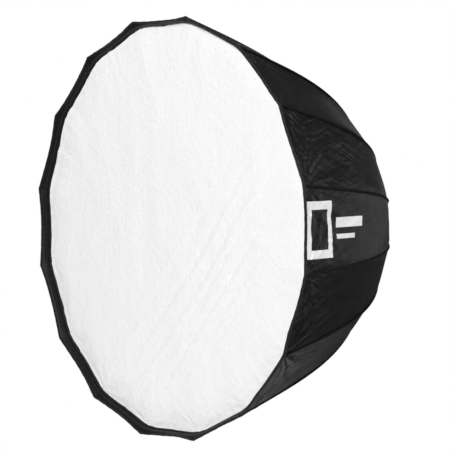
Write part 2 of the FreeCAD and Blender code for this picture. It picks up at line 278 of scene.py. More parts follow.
def folding_group(rim=None):
    """Geometry nodes that carry cloth along with the folding ribs.

    Every point turns about the hinge circle by the ribs' own angle, and the spare width between
    two ribs stands out in a pleat. A disc of cloth gives rim = (corner radius, y): its middle is
    tucked back as a cone, so that the cloth keeps its length.
    """
    tree = bpy.data.node_groups.new("fold_with_ribs", "GeometryNodeTree")
    tree.interface.new_socket("Geometry", in_out="INPUT", socket_type="NodeSocketGeometry")
    tree.interface.new_socket("Geometry", in_out="OUTPUT", socket_type="NodeSocketGeometry")
    t = Tree(tree)
    source, target = t.node("NodeGroupInput"), t.node("NodeGroupOutput")
    places = []
    for body in ("body:rod_ring", "body:rib_01"):
        info = t.node("GeometryNodeObjectInfo", transform_space="RELATIVE")
        info.inputs["Object"].default_value = bpy.data.objects[body]
        places.append(info.outputs["Transform"])
    ring, rib = places
    undo = t.node("FunctionNodeInvertMatrix")
    t.feed(undo.inputs[0], ring)
    relative = t.node("FunctionNodeMatrixMultiply")
    t.feed(relative.inputs[0], undo.outputs[0])
    t.feed(relative.inputs[1], rib)
    turned = t.node("FunctionNodeTransformDirection")
    t.feed(turned.inputs["Direction"], (0, 1, 0))
    t.feed(turned.inputs["Transform"], relative.outputs[0])
    split = t.node("ShaderNodeSeparateXYZ")
    t.feed(split.inputs[0], turned.outputs[0])
    cosine = split.outputs[1]
    squares = [t.math("POWER", split.outputs[i], 2.0) for i in (0, 2)]
    sine = t.math("SQRT", t.math("ADD", *squares))

    place = t.node("ShaderNodeSeparateXYZ")
    t.feed(place.inputs[0], t.node("GeometryNodeInputPosition").outputs[0])
    x, y, z = place.outputs
    reach_squared = t.math("ADD", t.math("MULTIPLY", x, x), t.math("MULTIPLY", z, z))
    radius = t.math("MAXIMUM", t.math("SQRT", reach_squared), 1e-6)
    angle = t.math("ARCTAN2", z, x)
    share = t.math("FRACT", t.math("DIVIDE", t.math("ADD", angle, 4 * math.pi - HALF), STEP))
    crest = t.math("SINE", t.math("MULTIPLY", share, math.pi))

    def folded(r, place_y):
        """New radius and y of a point that turns about the hinge circle."""
        a = t.math("SUBTRACT", r, HINGE_RADIUS)
        b = t.math("SUBTRACT", place_y, HINGE_Y)
        new_r = t.math("ADD", t.math("MULTIPLY", a, cosine), t.math("MULTIPLY", b, sine))
        new_y = t.math("SUBTRACT", t.math("MULTIPLY", b, cosine), t.math("MULTIPLY", a, sine))
        return t.math("ADD", new_r, HINGE_RADIUS), t.math("ADD", new_y, HINGE_Y)

    def spare(before, after):
        """What Pythagoras leaves of a length whose reach has shrunk."""
        left = t.math("SUBTRACT", t.math("MULTIPLY", before, before), t.math("MULTIPLY", after, after))
        return t.math("SQRT", t.math("MAXIMUM", left, 0.0))

    if rim:
        corner, rim_y = rim
        off_middle = t.math("MULTIPLY", t.math("SUBTRACT", share, 0.5), STEP)
        rim_r = t.math("DIVIDE", corner * math.cos(HALF), t.math("COSINE", off_middle))
        inward = t.math("DIVIDE", radius, rim_r)
        end_r, end_y = folded(rim_r, rim_y)
        tuck = t.math("MULTIPLY", spare(rim_r, end_r), t.math("SUBTRACT", 1.0, inward))
        new_y = t.math("ADD", t.math("ADD", end_y, tuck), t.math("SUBTRACT", y, rim_y))
        pleat = t.math("MULTIPLY", spare(rim_r, end_r), PLEAT)
        reach = t.math("ADD", end_r, t.math("MULTIPLY", pleat, crest))
        new_r = t.math("MULTIPLY", reach, inward)
    else:
        new_r, new_y = folded(radius, y)
        pleat = t.math("MULTIPLY", spare(radius, new_r), PLEAT)
        new_r = t.math("ADD", new_r, t.math("MULTIPLY", pleat, crest))
    scale = t.math("DIVIDE", new_r, radius)
    together = t.node("ShaderNodeCombineXYZ")
    new_x, new_z = t.math("MULTIPLY", x, scale), t.math("MULTIPLY", z, scale)
    for socket, value in zip(together.inputs, (new_x, new_y, new_z)):
        t.feed(socket, value)
    back = t.node("FunctionNodeTransformPoint")
    t.feed(back.inputs["Vector"], together.outputs[0])
    t.feed(back.inputs["Transform"], ring)
    move = t.node("GeometryNodeSetPosition")
    t.feed(move.inputs["Geometry"], source.outputs[0])
    t.feed(move.inputs["Position"], back.outputs[0])
    t.feed(target.inputs[0], move.outputs[0])
    return tree


# ---------------------------------------------------------------- materials


def new_material(name):
    material = bpy.data.materials.new(name)
    material.use_nodes = True
    t = Tree(material.node_tree)
    shader = material.node_tree.nodes["Principled BSDF"]
    return material, t, shader


def grey(value, blue=0.0):
    return (value, value * (1 + 0.3 * blue), value * (1 + blue), 1.0)


def texture_noise(t, where, scale, detail=3.0, roughness=0.55, stretch=(1, 1, 1)):
    mapping = t.node("ShaderNodeMapping")
    mapping.inputs["Scale"].default_value = stretch
    t.feed(mapping.inputs["Vector"], where)
    made = t.node("ShaderNodeTexNoise")
    made.inputs["Scale"].default_value = scale
    made.inputs["Detail"].default_value = detail
    made.inputs["Roughness"].default_value = roughness
    t.feed(made.inputs["Vector"], mapping.outputs[0])
    return made.outputs[0]


def mixed(t, factor, first, second):
    made = t.node("ShaderNodeMix", data_type="RGBA")
    t.feed(made.inputs["Factor"], factor)
    t.feed(made.inputs[6], first)
    t.feed(made.inputs[7], second)
    return made.outputs[2]


def spread(t, value, low, high, to_low=0.0, to_high=1.0):
    made = t.node("ShaderNodeMapRange")
    t.feed(made.inputs[0], value)
    for socket, number in zip(made.inputs[1:5], (low, high, to_low, to_high)):
        socket.default_value = number
    return made.outputs[0]


def bump(t, shader, layers):
    """Adds height layers, each (height, distance in metres, strength), to the shader's normal."""
    normal = None
    for height, distance, strength in layers:
        made = t.node("ShaderNodeBump")
        made.inputs["Distance"].default_value = distance
        made.inputs["Strength"].default_value = strength
        t.feed(made.inputs["Height"], height)
        if normal:
            t.feed(made.inputs["Normal"], normal)
        normal = made.outputs[0]
    t.feed(shader.inputs["Normal"], normal)


def weave(t, where, threads):
    """Height of a plain weave with threads per metre, over a UV map in metres."""
    split = t.node("ShaderNodeSeparateXYZ")
    t.feed(split.inputs[0], where)
    across = t.math("SINE", t.math("MULTIPLY", split.outputs[0], 2 * math.pi * threads))
    along = t.math("SINE", t.math("MULTIPLY", split.outputs[1], 2 * math.pi * threads))
    return t.math("MULTIPLY", across, along)


def uv_of(t):
    return t.node("ShaderNodeUVMap", uv_map="UVMap").outputs[0]


def object_space(t):
    return t.node("ShaderNodeTexCoord").outputs["Object"]


def nylon(name, crumpled, mark=False):
    """Coated black polyester: a fine weave, a semi-gloss face, pressed-in creases towards the front."""
    material, t, shader = new_material(name)
    uv = uv_of(t)
    split = t.node("ShaderNodeSeparateXYZ")
    t.feed(split.inputs[0], uv)
    front = spread(t, split.outputs[1], 0.25, 0.85, 1.0, 0.25)
    patches = texture_noise(t, uv, 9.0, 4.0)
    streaks = texture_noise(t, uv, 1.0, 4.0, 0.6, (5.0, 120.0, 1.0))
    here = spread(t, texture_noise(t, uv, 4.0, 2.0), 0.36, 0.60)
    there = spread(t, texture_noise(t, uv, 3.0, 2.0, 0.5, (1.0, 1.6, 1.0)), 0.38, 0.60)
    front_here, front_there = t.math("MULTIPLY", front, here), t.math("MULTIPLY", front, there)
    crumple = t.math("MULTIPLY", sharp_folds(t, uv, -14.0, (24.0, 4.0, 1.0)), front_here)
    leaning = t.math("MULTIPLY", sharp_folds(t, uv, 20.0, (30.0, 3.4, 1.0)), front_there)
    color = mixed(t, spread(t, patches, 0.35, 0.65), grey(0.0032, 0.12), grey(0.0055, 0.12))
    if mark:
        color = mixed(t, printed_mark(t, uv), color, grey(0.92))
    t.feed(shader.inputs["Base Color"], color)
    t.feed(shader.inputs["Roughness"], spread(t, patches, 0.3, 0.7, 0.27, 0.36))
    shader.inputs["Specular IOR Level"].default_value = 0.30
    bump(t, shader, [
        (weave(t, uv, 1100), 0.00012, 0.5),
        (streaks, 0.0010, 0.5),
        (crumple, 0.0040 * crumpled, 0.9),
        (leaning, 0.0040 * crumpled, 0.9),
    ])
    return material


def sharp_folds(t, where, lean, stretch):
    """Folds with sharp crests and smooth sides, leaning by the given degrees."""
    turned = t.node("ShaderNodeMapping")
    turned.inputs["Rotation"].default_value = (0, 0, math.radians(lean))
    t.feed(turned.inputs["Vector"], where)
    height = texture_noise(t, turned.outputs[0], 1.0, 2.0, 0.4, stretch)
    return t.math("SUBTRACT", 1.0, t.math("SQRT", t.math("ABSOLUTE", t.math("SUBTRACT", height, 0.5))))


def printed_mark(t, uv):
    """A plain printed mark, a square frame and two bars, as a mask."""
    split = t.node("ShaderNodeSeparateXYZ")
    t.feed(split.inputs[0], uv)
    across, along = t.math("SUBTRACT", split.outputs[0], float(RIBS - 1)), split.outputs[1]

    def within(value, low, high):
        return t.math("MULTIPLY", t.math("GREATER_THAN", value, low), t.math("LESS_THAN", value, high))

    def patch(a0, a1, b0, b1):
        return t.math("MULTIPLY", within(along, a0, a1), within(across, b0, b1))

    frame_outer = patch(0.010, 0.188, -0.095, 0.095)
    frame_inner = patch(0.038, 0.160, -0.067, 0.067)
    frame_line = t.math("SUBTRACT", frame_outer, frame_inner)
    first_bar = patch(0.222, 0.42, 0.004, 0.038)
    second_bar = patch(0.222, 0.36, -0.034, -0.018)
    return t.math("MINIMUM", t.math("ADD", frame_line, t.math("ADD", first_bar, second_bar)), 1.0)


def silver_lining():
    """Embossed silver coating on the inside of the panels."""
    material, t, shader = new_material("silver_lining")
    uv = uv_of(t)
    shade = texture_noise(t, uv, 30.0)
    t.feed(shader.inputs["Base Color"], mixed(t, shade, grey(0.62), grey(0.74)))
    shader.inputs["Metallic"].default_value = 0.85
    t.feed(shader.inputs["Roughness"], spread(t, shade, 0.3, 0.7, 0.32, 0.45))
    bump(t, shader, [(weave(t, uv, 400), 0.0003, 0.5), (texture_noise(t, uv, 40.0, 5.0), 0.001, 0.4)])
    return material


def tape(name, color, ribs_per_metre=900, stitch_rows=(), thread=0.05, gloss=0.35):
    """Ribbed woven tape with rows of stitching at the given places across it."""
    material, t, shader = new_material(name)
    uv = uv_of(t)
    split = t.node("ShaderNodeSeparateXYZ")
    t.feed(split.inputs[0], uv)
    ribbing = t.math("SINE", t.math("MULTIPLY", split.outputs[1], 2 * math.pi * ribs_per_metre))
    shade = mixed(t, texture_noise(t, uv, 25.0), grey(color * 0.8), grey(color * 1.25))
    rows = None
    for place in stitch_rows:
        off = t.math("ABSOLUTE", t.math("SUBTRACT", split.outputs[0], place))
        dash = t.math("GREATER_THAN", t.math("FRACT", t.math("MULTIPLY", split.outputs[1], 280.0)), 0.3)
        row = t.math("MULTIPLY", t.math("LESS_THAN", off, 0.0005), dash)
        rows = row if rows is None else t.math("MAXIMUM", rows, row)
    layers = [(ribbing, 0.00015, 0.6), (texture_noise(t, uv, 60.0, 4.0), 0.0008, 0.4)]
    if rows is not None:
        shade = mixed(t, rows, shade, grey(thread))
        layers.append((rows, 0.0004, 0.8))
    t.feed(shader.inputs["Base Color"], shade)
    t.feed(shader.inputs["Roughness"], spread(t, texture_noise(t, uv, 80.0), 0.3, 0.7, 0.62, 0.8))
    shader.inputs["Specular IOR Level"].default_value = gloss
    shader.inputs["Sheen Weight"].default_value = 0.08 * gloss
    bump(t, shader, layers)
    return material


def satin():
    """Black satin of the lip: soft sheen, gathers across it, one stitched line behind the edge."""
    material, t, shader = new_material("lip_satin_cloth")
    uv = uv_of(t)
    split = t.node("ShaderNodeSeparateXYZ")
    t.feed(split.inputs[0], uv)
    gathers = texture_noise(t, uv, 1.0, 4.0, 0.6, (70.0, 12.0, 1.0))
    off = t.math("ABSOLUTE", t.math("SUBTRACT", split.outputs[1], 0.016))
    dash = t.math("GREATER_THAN", t.math("FRACT", t.math("MULTIPLY", split.outputs[0], 280.0)), 0.3)
    stitches = t.math("MULTIPLY", t.math("LESS_THAN", off, 0.0006), dash)
    cloth = mixed(t, spread(t, gathers, 0.35, 0.65), grey(0.0035, 0.1), grey(0.006, 0.1))
    t.feed(shader.inputs["Base Color"], mixed(t, stitches, cloth, grey(0.05)))
    t.feed(shader.inputs["Roughness"], spread(t, gathers, 0.3, 0.7, 0.48, 0.60))
    shader.inputs["Specular IOR Level"].default_value = 0.2
    bump(t, shader, [(weave(t, uv, 1400), 0.0001, 0.4), (gathers, 0.003, 0.5), (stitches, 0.0005, 0.8)])
    return material


def diffusion_cloth():
    """Thin white diffusion cloth, creased from being packed."""
    material, t, shader = new_material("white_diffusion_cloth")
    uv = uv_of(t)
    hanging = texture_noise(t, uv, 1.0, 4.0, 0.55, (17.0, 6.0, 1.0))
    fine = texture_noise(t, uv, 1.0, 5.0, 0.65, (62.0, 44.0, 1.0))
    lines = []
    for lean, seed in ((34, 0.0), (-52, 3.7), (78, 8.1)):
        fold = t.node("ShaderNodeMapping")
        fold.inputs["Rotation"].default_value = (0, 0, math.radians(lean))
        fold.inputs["Location"].default_value = (seed, seed, 0)
        t.feed(fold.inputs["Vector"], uv)
        slant = texture_noise(t, fold.outputs[0], 1.0, 1.0, 0.4, (1.6, 9.0, 1.0))
        line = spread(t, t.math("ABSOLUTE", t.math("SUBTRACT", slant, 0.5)), 0.0, 0.02, 1.0, 0.0)
        broken = spread(t, texture_noise(t, uv, 5.0 + seed, 2.0), 0.45, 0.62)
        lines.append(t.math("MULTIPLY", line, broken))
    creases = t.math("MAXIMUM", t.math("MAXIMUM", lines[0], lines[1]), lines[2])
    t.feed(shader.inputs["Base Color"], mixed(t, hanging, (0.872, 0.875, 0.884, 1), (0.888, 0.890, 0.896, 1)))
    shader.inputs["Roughness"].default_value = 0.85
    shader.inputs["Specular IOR Level"].default_value = 0.25
    shader.inputs["Sheen Weight"].default_value = 0.15
    bump(t, shader, [
        (weave(t, uv, 1000), 0.0001, 0.4),
        (hanging, 0.0030, 0.5),
        (sharp_folds(t, uv, 12.0, (21.0, 15.0, 1.0)), 0.0016, 0.7),
        (fine, 0.0042, 0.8),
        (creases, 0.0008, 0.6),
    ])
    return material


def hard(name, color, roughness, metallic=0.0, grain=900.0, depth=0.00012, turned=False, wear=0.0):
    """A hard finish: fine grain or turning lines, slight blotches and rubbed high spots."""
    material, t, shader = new_material(name)
    where = object_space(t)
    blotch = texture_noise(t, where, 22.0, 4.0)
    grains = texture_noise(t, where, grain, 2.0)
    if turned:
        split = t.node("ShaderNodeSeparateXYZ")
        t.feed(split.inputs[0], where)
        x, y, z = split.outputs
        reach = t.math("SQRT", t.math("ADD", t.math("MULTIPLY", x, x), t.math("MULTIPLY", z, z)))
        grains = t.math("SINE", t.math("MULTIPLY", t.math("ADD", reach, y), 2 * math.pi * 1800))
    darker, lighter = [c * 0.85 for c in color] + [1], [c * 1.12 for c in color] + [1]
    shade = mixed(t, spread(t, blotch, 0.3, 0.7), darker, lighter)
    if wear:
        edges = t.node("ShaderNodeNewGeometry").outputs["Pointiness"]
        worn = t.math("MULTIPLY", spread(t, edges, 0.52, 0.60), spread(t, blotch, 0.4, 0.6))
        shade = mixed(t, t.math("MULTIPLY", worn, wear), shade, grey(0.35))
    t.feed(shader.inputs["Base Color"], shade)
    shader.inputs["Metallic"].default_value = metallic
    t.feed(shader.inputs["Roughness"], spread(t, blotch, 0.3, 0.7, roughness - 0.06, roughness + 0.08))
    bump(t, shader, [(grains, depth, 0.5)])
    return material


# ---------------------------------------------------------------- pieces


def finish_piece(obj, body, stands_for, rim=None, moves=True):
    if moves:
        fold = obj.modifiers.new("fold", "NODES")
        fold.node_group = folding_group(rim)
    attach(obj, body)
    if stands_for:
        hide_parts(*stands_for)


def round_canopy(columns):
    """Panel number and share across it for each column of a ring round the canopy."""
    number = np.repeat(np.arange(RIBS), columns)
    share = np.tile(np.arange(columns) / columns, RIBS)
    return number, share


def ring_points(number, share, radius):
    """x and z on the sixteen-sided ring of the given corner radius."""
    first, second = HALF + STEP * number, HALF + STEP * (number + 1)
    x = radius * (np.cos(first) * (1 - share) + np.cos(second) * share)
    z = radius * (np.sin(first) * (1 - share) + np.sin(second) * share)
    return x, z


def closed_rings(name, rings, material, uv_rings, capped=False):
    """A surface through closed rings of points. Each ring's UVs have one more point, which closes it."""
    points = np.stack(rings)
    rows, columns = points.shape[:2]
    faces = grid_faces(rows, columns, closed=True)
    loops = grid_faces(rows, columns + 1)
    uv = np.stack(uv_rings).reshape(-1, 2)[np.array(loops).ravel()]
    vertices = points.reshape(-1, 3)
    if capped:
        centre = len(vertices)
        vertices = np.concatenate([vertices, vertices[:columns].mean(axis=0, keepdims=True)])
        first = np.stack(uv_rings)[0]
        faces.extend((centre, j, (j + 1) % columns) for j in range(columns))
        fan = np.stack([np.broadcast_to(first[:-1].mean(axis=0), (columns, 2)), first[:-1], first[1:]], 1)
        uv = np.concatenate([uv, fan.reshape(-1, 2)])
    obj = make_object(name, vertices, faces, material)
    layer = obj.data.uv_layers.new(name="UVMap")
    layer.data.foreach_set("uv", uv.astype(np.float32).ravel())
    return obj, np.concatenate([points, points[:, :1]], axis=1)


def build_gore(number, material, lining):
    rows, columns = 180, 93
    even = np.linspace(0.0006, 0.9994, columns)
    closer_at_seams = even - 0.105 * np.sin(2 * math.pi * even)
    s, u = np.meshgrid(np.linspace(0, RIB_LENGTH - 0.002, rows), closer_at_seams, indexing="ij")
    points = gore_point(number, u, s)
    width = 2 * along_rib(s)[0] * math.sin(HALF)
    uv = np.stack([(u - 0.5) * width + number, s], -1)
    name = "gore_cloth_%02d" % (number + 1)
    obj = make_object(name, points.reshape(-1, 3), grid_faces(rows, columns), material, uv.reshape(-1, 2))
    thicken(obj, 0.0008, lining)
    body = "rib_%02d" % (number + 1)
    finish_piece(obj, body, ["gore_%02d" % (number + 1)])


def build_seam(number, material):
    """Felled seam between two panels, standing a little proud along the rib."""
    rows = 180
    across = np.array([-5.2, -4.6, -2.8, -1.8, -0.9, 0.0, 0.9, 1.8, 2.8, 4.6, 5.2]) * 1e-3
    rise = np.array([0.0, 0.7, 0.9, 1.5, 2.1, 2.3, 2.1, 1.5, 0.9, 0.7, 0.0]) * 1e-3
    rise = rise - np.abs(across) * 0.24
    s, side = np.meshgrid(np.linspace(0.001, RIB_LENGTH - 0.003, rows), across, indexing="ij")
    lift = np.broadcast_to(rise, s.shape) + 0.00035 * np.sin(s * 400 + number) * np.exp(-(side / 0.004) ** 2)
    radius, y, slope = along_rib(s)
    angle = rib_angle(number)
    out = radius + lift * np.cos(slope)
    x = out * math.cos(angle) - side * math.sin(angle)
    z = out * math.sin(angle) + side * math.cos(angle)
    points = np.stack([x, y + lift * np.sin(slope), z], -1)
    uv = np.stack([side, s], -1)
    name = "seam_%02d" % (number + 1)
    obj = make_object(name, points.reshape(-1, 3), grid_faces(rows, len(across)), material, uv.reshape(-1, 2))
    thicken(obj, 0.0006)
    finish_piece(obj, "rib_%02d" % (number + 1), None, moves=False)


def build_binding(material):
    """Tape folded over the front edge, pulled slightly inward between the ribs."""
    number, share = round_canopy(22)
    edge = np.stack([gore_point(k, u, np.array(0.0)) for k, u in zip(number, share)])
    out = edge[:, [0, 2]] / np.linalg.norm(edge[:, [0, 2]], axis=1, keepdims=True)
    section = [(1.2, 6.2), (1.4, 4.2), (1.4, 0.8), (0.7, -1.6), (-1.2, -2.9), (-3.2, -2.4), (-4.3, -0.6),
               (-5.2, 1.8)]
    section = [(a / 1000, b / 1000) for a, b in section]
    around_length = np.append(np.arange(len(edge)), len(edge)) / len(edge) * 32 * FRONT_RADIUS * math.sin(HALF)
    rings, uv_rings, run = [], [], 0.0
    for i, (a, b) in enumerate(section):
        ripple = 0.0006 * np.sin(np.arange(len(edge)) * 2.1 + i)
        ring = edge.copy()
        ring[:, 0] += out[:, 0] * (a + ripple)
        ring[:, 2] += out[:, 1] * (a + ripple)
        ring[:, 1] += b
        rings.append(ring)
        uv_rings.append(np.stack([np.full(len(edge) + 1, run), around_length], -1))
        run += 0.0026
    obj, _ = closed_rings("front_binding_tape", rings, material, uv_rings)
    thicken(obj, 0.0009)
    finish_piece(obj, "rod_ring", ["front_binding"])


def cloth_inward(number, share, t):
    """How far the panels' cloth lies inside the flat between its ribs, t behind the front edge."""
    inward = 0.003 * 4 * share * (1 - share) * math.exp(-t / 0.09)
    for panel in range(RIBS):
        mine = number == panel
        inward[mine] -= gore_relief(panel, share[mine], np.full(mine.sum(), t))
    return inward


def lip_inset(number, share, t):
    """How far the lip's face lies inside the corner line, t behind the front edge.

    The rib's tip pocket rounds each corner off, and the lip stays inside the panels' cloth.
    """
    between = 4 * share * (1 - share)
    flare = 0.0034 + 0.0056 * min(t / 0.009, 1.0)
    off_corner = np.minimum(share, 1 - share) * 2 * FRONT_RADIUS * math.sin(HALF)
    pocket = 0.0055 * np.exp(-(off_corner / 0.026) ** 2) * smooth(0.004, 0.018, t)
    wave = noise(number * 3.1 + share * 3, t * 18, 41) + 0.25 * noise(number * 7.0 + share * 9, t * 25, 42)
    upward = np.sin(HALF + STEP * (number + share))
    pressed = 0.0011 * noise(number * 9 + share * 9, t * 6, 43) * (0.4 + 0.6 * upward)
    ripple = smooth(0.008, 0.03, t) * (0.0018 * (0.4 + wave) * np.sqrt(between) + pressed)
    clear_of_cloth = cloth_inward(number, share, t) + 0.003
    return np.maximum(flare + pocket + 0.0008 * between + ripple, clear_of_cloth)


def lip_ring(number, share, t, extra=0.0):
    y = FRONT_Y + t
    radius = radius_at(y) - lip_inset(number, share, t) - extra
    x, z = ring_points(number, share, radius)
    scallop = 0.006 * 4 * share * (1 - share) * math.exp(-t / 0.09)
    return np.stack([x, np.full(len(x), y) + scallop, z], -1)


def build_lip(material):
    number, share = round_canopy(26)
    depths = np.concatenate([np.linspace(0.0008, 0.011, 6), np.linspace(0.0135, 0.049, 16)])
    rings = [lip_ring(number, share, t) for t in depths]
    length = np.arange(len(number) + 1) / len(number) * 32 * 0.74 * math.sin(HALF)
    uv = [np.stack([length, np.full(len(length), t)], -1) for t in depths]
    obj, _ = closed_rings("front_lip", rings, material, uv)
    thicken(obj, 0.0008)
    finish_piece(obj, "rod_ring", ["front_lip_band"])


def build_hem(material):
    """Hook strip round the outer diffuser, pressed on the lip."""
    number, share = round_canopy(26)
    depths = np.linspace(LIP_DEPTH + 0.002, 0.0495, 8)
    rings = [lip_ring(number, share, t, 0.0022) for t in depths]
    length = np.arange(len(number) + 1) / len(number) * 32 * 0.725 * math.sin(HALF)
    uv = [np.stack([np.full(len(length), t), length], -1) for t in depths]
    obj, _ = closed_rings("diffuser_hem_tape", rings, material, uv)
    thicken(obj, 0.001)
    finish_piece(obj, "rod_ring", ["diffuser_hem"])


def cloth_relief(x, z, reach, seed):
    """Folds of a hanging disc of cloth; reach is the share of the way to its rim."""
    hanging = 0.0009 * noise(x * 15 + 40, z * 3.5 + 40, seed)
    hanging = hanging + 0.0004 * noise(x * 40 + 80, z * 12 + 40, seed + 1)
    slanted = 0.0012 * ridged((x + 0.55 * z) * 7 + 60, (z - 0.5 * x) * 1.6 + 60, seed + 2)
    slanted = slanted + 0.0012 * ridged((x - 0.8 * z) * 6 + 30, (z + x) * 1.9 + 30, seed + 3)
    along, across = 0.68 * x + 0.73 * z, 0.73 * x - 0.68 * z
    drift = noise(along * 2 + 9, across * 4 + 9, seed + 6)
    pulled = np.sin(across * 105 + 2.2 * drift) + 0.5 * np.sin(across * 176 + 3.4 * drift)
    where = np.exp(-((across - 0.29) / 0.19) ** 2 - ((along - 0.02) / 0.52) ** 2)
    slack = 0.004 * (1 - reach**2) * noise(x * 2.1 + 20, z * 1.7 + 20, seed + 5)
    return (hanging + slanted + slack + 0.0026 * pulled * where) * smooth(1.0, 0.94, reach)


def rim_folds(x, z, rim_x, rim_z, reach, seed):
    """Folds from the rim's corners and gathers along it, deepest on the left and at the bottom."""
    angle = np.arctan2(rim_z, rim_x)
    heavy = 0.35 + 0.65 * smooth(-0.2, 0.9, np.cos(angle - math.radians(238)))
    total = 0.0
    for number in range(RIBS):
        corner = rib_angle(number)
        cx, cz = 0.726 * math.cos(corner), 0.726 * math.sin(corner)
        dx, dz = cx - x, cz - z
        far = np.hypot(dx, dz) + 1e-6
        sideways = dx * math.sin(corner) - dz * math.cos(corner)
        turn = np.arctan2(sideways, dx * math.cos(corner) + dz * math.sin(corner))
        fan = np.sin(turn * 13 + 2.5 * noise(far * 11 + 30, turn * 2 + 30, seed + number))
        total = total + fan * np.exp(-far / 0.075) * smooth(0.0, 0.03, far)
    gathers = np.sin(angle * 74 + 3 * noise(angle * 7 + 30, reach * 5, seed + 40))
    gathers = gathers + 0.6 * np.sin(angle * 143 + 3 * noise(angle * 9 + 30, reach * 7, seed + 41))
    gathers = gathers * smooth(0.80, 0.965, reach) * (0.4 + 0.6 * noise(angle * 5 + 40, reach * 0, seed + 42))
    return (0.0024 * total + 0.0017 * gathers) * heavy


def build_outer_diffuser(material):
    number, share = round_canopy(26)
    rim = lip_ring(number, share, LIP_DEPTH, 0.0012)
    rim_wave = 0.002 * noise(number * 5 + share * 13, share * 0 + 3.5, 51) * np.sqrt(4 * share * (1 - share))
    low = smooth(-0.6, 0.9, np.cos(np.arctan2(rim[:, 2], rim[:, 0]) - math.radians(245)))
    reaches = np.concatenate([np.linspace(0.0006, 0.9, 90), np.linspace(0.908, 1.0, 24)])
    rings = []
    for reach in reaches:
        x, z = rim[:, 0] * reach, rim[:, 2] * reach
        y = rim[:, 1].mean() + (rim[:, 1] - rim[:, 1].mean() + rim_wave) * reach**6
        relief = cloth_relief(x, z, np.full(len(x), reach), 60)
        folds = rim_folds(x, z, rim[:, 0], rim[:, 2], np.full(len(x), reach), 600)
        relief = relief + folds * smooth(1.0, 0.98, reach)
        y = y - relief + (0.0035 + 0.0055 * low) * smooth(0.87 - 0.07 * low, 1.0, reach) ** 2
        rings.append(np.stack([x, y, z], -1))
    for back in (0.004, 0.009):
        turned = rings[len(reaches) - 1].copy()
        turned[:, 1] += back
        rings.append(turned)
    uv = [np.stack([np.append(r[:, 0], r[0, 0]), np.append(r[:, 2], r[0, 2])], -1) for r in rings]
    obj, points = closed_rings("outer_diffuser_cloth", rings, material, uv, capped=True)
    thicken(obj, 0.0005)
    corner = radius_at(FRONT_Y + LIP_DEPTH) - 0.011
    finish_piece(obj, "rod_ring", ["outer_diffuser"], rim=(corner, FRONT_Y + LIP_DEPTH))


def build_inner_diffuser(material):
    number, share = round_canopy(16)
    y = FRONT_Y + BAFFLE_DEPTH
    corner = radius_at(y) - BAFFLE_GAP
    rim = np.stack(ring_points(number, share, corner - 0.012 * 4 * share * (1 - share)), -1)
    rings = []
    for reach in np.linspace(0.0006, 1.0, 80):
        x, z = rim[:, 0] * reach, rim[:, 1] * reach
        away = np.minimum(share, 1 - share)
        pulls = 0.003 * np.sin(away * 60) * np.exp(-away * 7) * smooth(0.6, 0.97, reach)
        height = cloth_relief(x, z, np.full(len(x), reach), 80) + pulls
        rings.append(np.stack([x, y - height, z], -1))
    uv = [np.stack([np.append(r[:, 0], r[0, 0]), np.append(r[:, 2], r[0, 2])], -1) for r in rings]
    obj, points = closed_rings("inner_diffuser_cloth", rings, material, uv, capped=True)
    thicken(obj, 0.0005)
    finish_piece(obj, "rod_ring", ["inner_diffuser"], rim=(corner, y))


def build_tabs(material):
    """Sixteen elastic tabs between the inner diffuser's corners and the ribs."""
    y = FRONT_Y + BAFFLE_DEPTH
    start = radius_at(y) - BAFFLE_GAP - 0.010
    end = radius_at(y) - 0.0098
    vertices, faces, uv = [], [], []
    along, across = np.linspace(0, 1, 12), np.linspace(-0.008, 0.008, 5)
    for number in range(RIBS):
        a, w = np.meshgrid(along, across, indexing="ij")
        radius = start + (end - start) * a
        lift = 0.0012 * np.sin(a * math.pi) - 0.0014 * (1 - smooth(0.25, 0.45, a))
        lift = lift - 0.0006 * np.cos(w * 380)
        angle = rib_angle(number)
        x = radius * math.cos(angle) - w * math.sin(angle) * (1 - 0.12 * np.sin(a * math.pi))
        z = radius * math.sin(angle) + w * math.cos(angle) * (1 - 0.12 * np.sin(a * math.pi))
        points = np.stack([x, y + lift, z], -1)
        base = len(vertices)
        vertices.extend(points.reshape(-1, 3))
        uv.extend(np.stack([w, radius], -1).reshape(-1, 2))
        faces.extend(tuple(base + i for i in face) for face in grid_faces(*points.shape[:2]))
    obj = make_object("inner_diffuser_tabs", vertices, faces, material, uv)
    thicken(obj, 0.0012)
    finish_piece(obj, "rod_ring", ["baffle_tabs"])


def build_collar(material):
    """Gathered elastic collar that closes the canopy's rear around the rod ring."""
    low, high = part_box("rear_collar")
    inner, outer = 0.0932, high[0] + 0.001
    columns = 480
    angle = np.arange(columns) / columns * 2 * math.pi
    section = [(inner, high[1] - 0.0003), (inner, high[1] - 0.002), (inner + 0.0002, low[1] + 0.0022),
               (inner + 0.0012, low[1] + 0.0012), (inner + 0.0028, low[1] + 0.0008), (outer, low[1] + 0.0008)]
    rings, uv, run = [], [], 0.0
    for i, (radius, y) in enumerate(section):
        gather = 0.0004 * np.sin(angle * 96 + 1.5 * np.sin(angle * 7)) * (0.4 + 0.6 * (i < 3))
        r = radius + np.abs(gather)
        rings.append(np.stack([r * np.cos(angle), np.full(columns, y), r * np.sin(angle)], -1))
        uv.append(np.stack([np.full(columns + 1, run), np.append(angle, 2 * math.pi) * inner], -1))
        run += 0.003
    obj, _ = closed_rings("rear_collar_elastic", rings, material, uv)
    thicken(obj, 0.0009)
    finish_piece(obj, "rod_ring", ["rear_collar"], moves=False)


